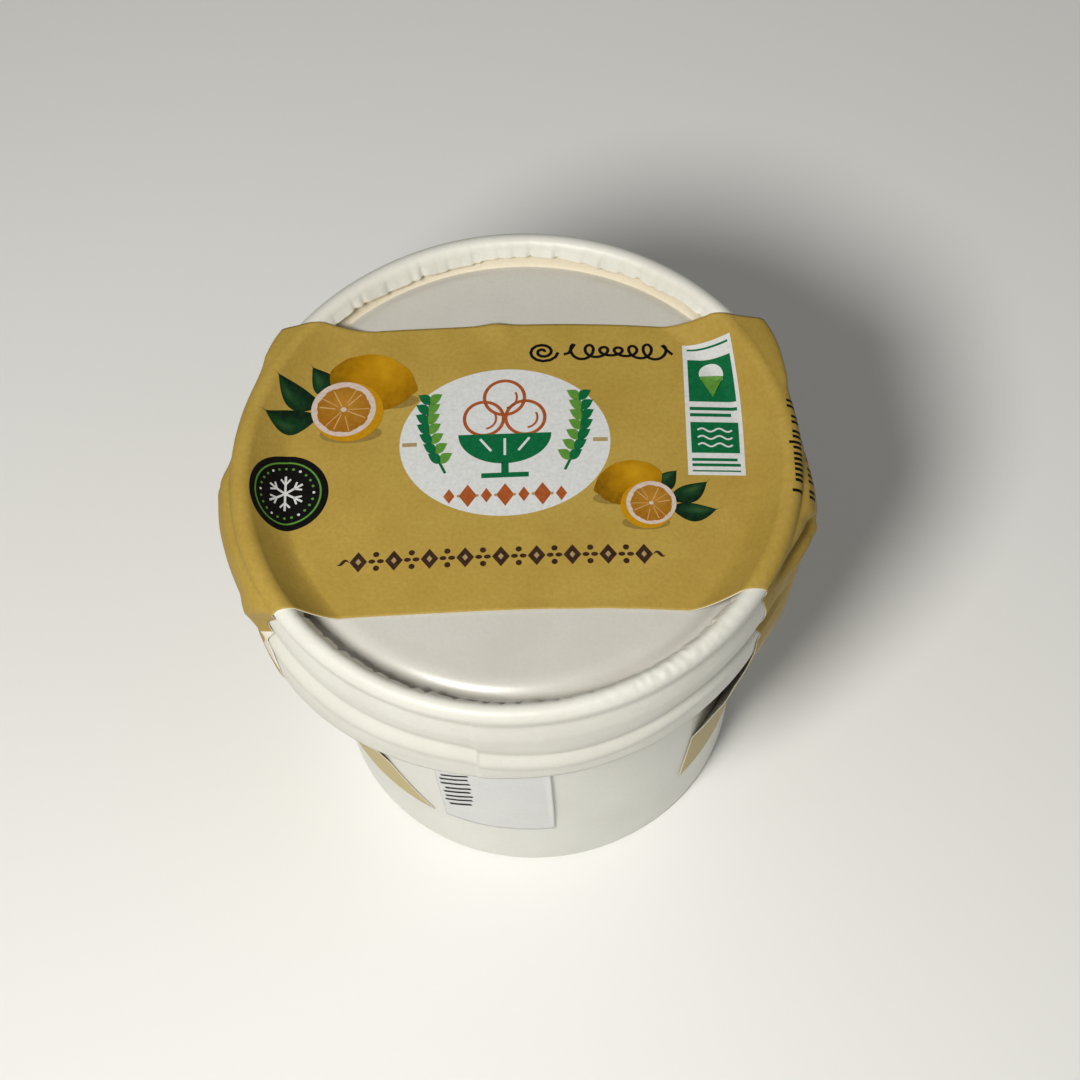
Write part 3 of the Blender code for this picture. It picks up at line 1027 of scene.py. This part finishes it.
def draw_upright_field(sheet):
    """White upright field with two green blocks, a cup mark, waves and plain bars."""
    (x0, y0), (x1, y1) = UPRIGHT_LOW, UPRIGHT_HIGH
    sheet.patch(box_outline(UPRIGHT_LOW, UPRIGHT_HIGH), INK_WHITE, 0, rings=12)
    inset = 0.8
    left, right = x0 + inset, x1 - inset

    def bars(places):
        for y, share, width in places:
            bar(sheet, left, left + (right - left) * share, y, width, INK_GREEN, 1)

    green_low = y1 - 12.6
    bars([(y1 - 1.1, 1.0, 0.4)])
    sheet.patch(box_outline((left, green_low), (right, y1 - 3.4)), INK_GREEN, 3, rings=9)
    x, y = (left + right) / 2, green_low + 4.6
    sheet.patch(oval((x, y + 1.4), 2.3, 2.3, 24), INK_WHITE, 5, rings=2)
    sheet.patch([(x, y - 3.6), (x + 2.3, y + 0.9), (x - 2.3, y + 0.9)], INK_LEAF, 6, rings=2)
    bars([(green_low - 1.5, 1.0, 0.7), (green_low - 2.85, 0.86, 0.7)])
    low_block = (y0 + 4.6, green_low - 4.4)
    sheet.patch(box_outline((left, low_block[0]), (right, low_block[1])), INK_GREEN, 1, rings=5)
    for k in range(3):
        y = mix(*low_block, 0.26 + 0.24 * k)
        shares = np.linspace(0, 1, 21)
        wave = [(mix(left + 1.2, right - 1.2, t), y + 0.35 * sin(4 * pi * t)) for t in shares]
        sheet.stroke(wave, 0.34, INK_WHITE, 2)
    bars([(y0 + 3.2, 0.94, 0.6), (y0 + 2.1, 1.0, 0.6), (y0 + 0.85, 1.0, 0.3)])


def draw_title_rule(sheet):
    """Dark ornament in place of a title: lozenges, crosses of dots and short dashes along one line."""
    x0, x1 = TITLE_ENDS
    y = TITLE_Y
    count = 17
    for k in range(count):
        x = mix(x0 + 1.6, x1 - 1.6, k / (count - 1))
        if k % 2 == 0:
            sheet.patch(lozenge(x, y, 1.55, 2.0), INK_BROWN, 0, rings=1)
            sheet.patch(lozenge(x, y, 0.5, 0.65), INK_GOLD, 1, rings=1)
            continue
        for dy in (-1.35, 1.35):
            sheet.patch(oval((x, y + dy), 0.55, 0.55, 12), INK_BROWN, 0, rings=1)
        for dx in (-0.75, 0.75):
            sheet.patch(oval((x + dx, y), 0.62, 0.42, 12), INK_BROWN, 0, rings=1)
    for side, end in ((-1, x0), (1, x1)):
        line = [(end + side * 0.3 * k, y + 0.45 * sin(k * 0.8)) for k in range(8)]
        sheet.stroke(line, 0.6, INK_BROWN, 0, taper=True)


def draw_flourish(sheet):
    """Thin drawn line with a small spiral and a run of loops, at the top right of the band."""
    x0, x1 = FLOURISH_ENDS
    y = FLOURISH_Y
    spiral = [polar(0.5 * k, 0.3 + 0.1 * k) for k in range(26)]
    sheet.stroke([(x0 + 2.6 + out, y + 0.8 * up) for out, up in spiral], 0.6, INK_BLACK, 0)
    loops = 6
    steps = 20
    run = []
    for k in range(loops * steps + 1):
        turn = 2 * pi * k / steps
        t = k / (loops * steps)
        tall = 1.7 * (0.75 + 0.25 * cos(7 * t))
        x = mix(x0 + 8.4, x1 - 1.0, t) - 1.35 * sin(turn)
        run.append((x, y - 0.1 + tall * cos(turn) + 0.25 * x * 0.02))
    run = [(x0 + 6.4, y - 0.6), (x0 + 7.3, y - 0.3)] + run + [(x1, y + 0.4), (x1 + 0.9, y - 0.5)]
    sheet.stroke(run, 0.58, INK_BLACK, 0)


def draw_fine_print(sheet):
    """Slanted strokes and short bars on the right flap, where a band carries its small print."""
    draw = random.Random(5)
    for row in range(2):
        u = RIGHT_BARS_U + row * 3.6
        y = 13.0 - row
        while y > -7.0:
            lean = draw.uniform(0.18, 0.28)
            tall = draw.choice((2.0, 2.0, 2.7))
            slanted = [(u + 1.0 - tall * k / 8, y - lean * k / 8) for k in range(9)]
            sheet.stroke(slanted, 0.6, INK_BLACK, 1)
            y -= draw.choice((1.1, 1.3, 2.2))
    for row in range(5):
        u = RIGHT_BARS_U + 8.0 + row * 2.0
        y = 12.0 + draw.uniform(-1, 1)
        while y > -5.0:
            length = draw.uniform(0.9, 3.4)
            count = max(2, round(length / 0.6))
            upright = [(u, y - length * k / count) for k in range(count + 1)]
            sheet.stroke(upright, 0.65, INK_BLACK, 1)
            y -= length + draw.uniform(0.45, 0.8)


# Places of the print on the flat band
OVAL_CENTRE = (-2.0, 7.4)
OVAL_HALF = (18.8, 15.3)
BADGE_CENTRE = (-40.9, -1.5)
BADGE_RADIUS = 7.7
UPRIGHT_LOW = (30.3, -0.1)
UPRIGHT_HIGH = (40.4, 28.0)
TITLE_ENDS = (-29.2, 23.6)
TITLE_Y = -16.0
FLOURISH_ENDS = (2.4, 27.6)
FLOURISH_Y = 26.3
LEFT_LEMONS = (-31.0, 15.6)
RIGHT_LEMONS = (23.6, -5.8)
RIGHT_BARS_U = 51.8
# Root and tip of each leaf from the middle of the cut lemon, its width and its bend
LEAF_PLACES = (
    ((-2.6, 2.9), (-7.4, 9.4), 4.2, -0.10),
    ((-4.4, 0.8), (-14.2, 7.6), 4.8, 0.10),
    ((-4.6, -1.4), (-17.0, -0.2), 4.8, 0.13),
)


def make_print():
    for name, draw in (
        ("print_oval", draw_oval_field),
        ("print_badge", draw_badge),
        ("print_upright", draw_upright_field),
        ("print_title_rule", draw_title_rule),
        ("print_flourish", draw_flourish),
        ("print_small_bars", draw_fine_print),
        ("print_lemons_left", lambda sheet: lemons(sheet, LEFT_LEMONS, 1.0, 1)),
        ("print_lemons_right", lambda sheet: lemons(sheet, RIGHT_LEMONS, 0.75, -1)),
    ):
        sheet = Print(name)
        draw(sheet)
        sheet.build()


# Date label on the wall

LABEL_ANGLES = (-25.2, 5.4)
LABEL_HEIGHTS = (17.8, 54.5)


def wall_point(degrees, z, height):
    """Point over the cup wall, with the angle from -Y towards +X."""
    angle = radians(degrees)
    r = wall_radius(z) + height
    return (r * sin(angle), -r * cos(angle), z)


def make_date_label():
    columns, rows = 48, 40
    last = LABEL_ANGLES[1]
    points = []
    for i in range(columns + 1):
        degrees = mix(*LABEL_ANGLES, i / columns)
        for j in range(rows + 1):
            z = mix(*LABEL_HEIGHTS, j / rows)
            free = 0.55 * smooth(last - 1.4, last, degrees) * smooth(16, 30, z)
            wave = 0.05 * grain(degrees * 0.7, z, 2.0, 7.0)
            points.append(wall_point(degrees, z, 0.23 + free + max(wave, -0.03)))
    faces = [face[::-1] for face in ring_faces(columns + 1, rows + 1, closed=False)]
    label = make_object("date_sticker", points, faces, [LABEL_PAPER])
    thicken(label, 0.10)
    finish_piece(label, "label_paper", "date_label")


# The stamp's bars: height of the first, step down, middle in degrees and slope
STAMP_TOP = 43.4
STAMP_STEP = 2.1
STAMP_MIDDLE = -19.6
STAMP_SLOPE = 0.42


def make_stamp():
    """Slanted bars of ink, as a worn stamp leaves, in a column on the label."""
    draw = random.Random(3)
    points, faces = [], []
    arc = radians(1) * wall_radius(35)
    for k in range(9):
        z = STAMP_TOP - k * STAMP_STEP
        middle = STAMP_MIDDLE + draw.uniform(-0.4, 0.4)
        reach = draw.uniform(3.2, 4.2)
        rise = STAMP_SLOPE * reach
        half = draw.uniform(0.28, 0.36)
        length = hypot(reach * arc, rise)
        da, dz = -rise / length * half / arc, reach * arc / length * half
        for way in (-1, 0):
            a0, z0 = middle + way * reach, z + way * rise
            start = len(points)
            for a, up in ((a0 - da, z0 - dz), (a0 + reach - da, z0 + rise - dz),
                          (a0 + reach + da, z0 + rise + dz), (a0 + da, z0 + dz)):
                points.append(wall_point(a, up, 0.31))
            faces.append((start, start + 1, start + 2, start + 3))
    stamp = make_object("label_stamp", points, faces, [INK_BLACK], None, False)
    finish_piece(stamp, "label_paper")


# Floor, light and camera

FLOOR_HALF = 4000.0
CAMERA_PLACE = (0.018359, -0.228933, 0.458125)
CAMERA_LENS = 83.33
CAMERA_SENSOR = 36.0
CAMERA_ELEVATION = 60.12
CAMERA_TURN = 3.8
CAMERA_ROLL = -5.18


def make_stage():
    material, tree, shader, place = new_material("pale_floor", 0.9)
    cloud = noise_factor(tree, place, 4.0, 2.0, 0.3, 0.7)
    tree.links.new(tone_mix(tree, cloud, (235, 235, 233), (237, 237, 235)), shader.inputs["Base Color"])
    corners = [(x * FLOOR_HALF, y * FLOOR_HALF, 0) for x, y in ((-1, -1), (1, -1), (1, 1), (-1, 1))]
    floor = make_object("floor", corners, [(0, 1, 2, 3)], [material], None, False)


def make_light(name, azimuth, elevation, distance, size, power, colour):
    """Area light aimed at the lid; azimuth from -Y towards +X, in degrees."""
    data = bpy.data.lights.new(name, "AREA")
    data.shape = "DISK"
    data.size = size
    data.energy = power
    data.color = colour
    light = add_object(name, data)
    a, e = radians(azimuth), radians(elevation)
    way = Vector((sin(a) * cos(e), -cos(a) * cos(e), sin(e)))
    light.location = Vector((0, 0, 0.06)) + way * distance
    light.rotation_mode = "QUATERNION"
    light.rotation_quaternion = way.to_track_quat("Z", "Y")


def make_lights():
    make_light("key", -26, 53, 0.5, 0.135, 2.43, (1.0, 0.98, 0.93))
    make_light("fill", 62, 45, 1.4, 0.6, 0.7, (1.0, 0.99, 0.97))
    world = bpy.data.worlds.new("studio")
    world.use_nodes = True
    background = world.node_tree.nodes["Background"]
    background.inputs["Color"].default_value = (1.0, 0.99, 0.97, 1.0)
    background.inputs["Strength"].default_value = 0.19
    bpy.context.scene.world = world
    bpy.context.scene.view_settings.view_transform = "Standard"


def make_camera():
    phi, turn, roll = (radians(v) for v in (CAMERA_ELEVATION, CAMERA_TURN, CAMERA_ROLL))
    spin = Matrix.Rotation(turn, 3, "Z")
    back = spin @ Vector((0, -cos(phi), sin(phi)))
    right = spin @ Vector((1, 0, 0))
    up = back.cross(right)
    x_axis = right * cos(roll) + up * sin(roll)
    y_axis = up * cos(roll) - right * sin(roll)
    data = bpy.data.cameras.new("photo_view")
    data.lens = CAMERA_LENS
    data.sensor_width = CAMERA_SENSOR
    data.clip_start = 0.01
    camera = add_object("photo_view", data)
    turned_axes = Matrix((x_axis, y_axis, back)).transposed().to_4x4()
    camera.matrix_world = Matrix.Translation(CAMERA_PLACE) @ turned_axes
    bpy.context.scene.camera = camera


make_cup()
make_lid_side()
make_lid_disc()
make_band()
make_print()
make_date_label()
make_stamp()
make_stage()
make_lights()
make_camera()
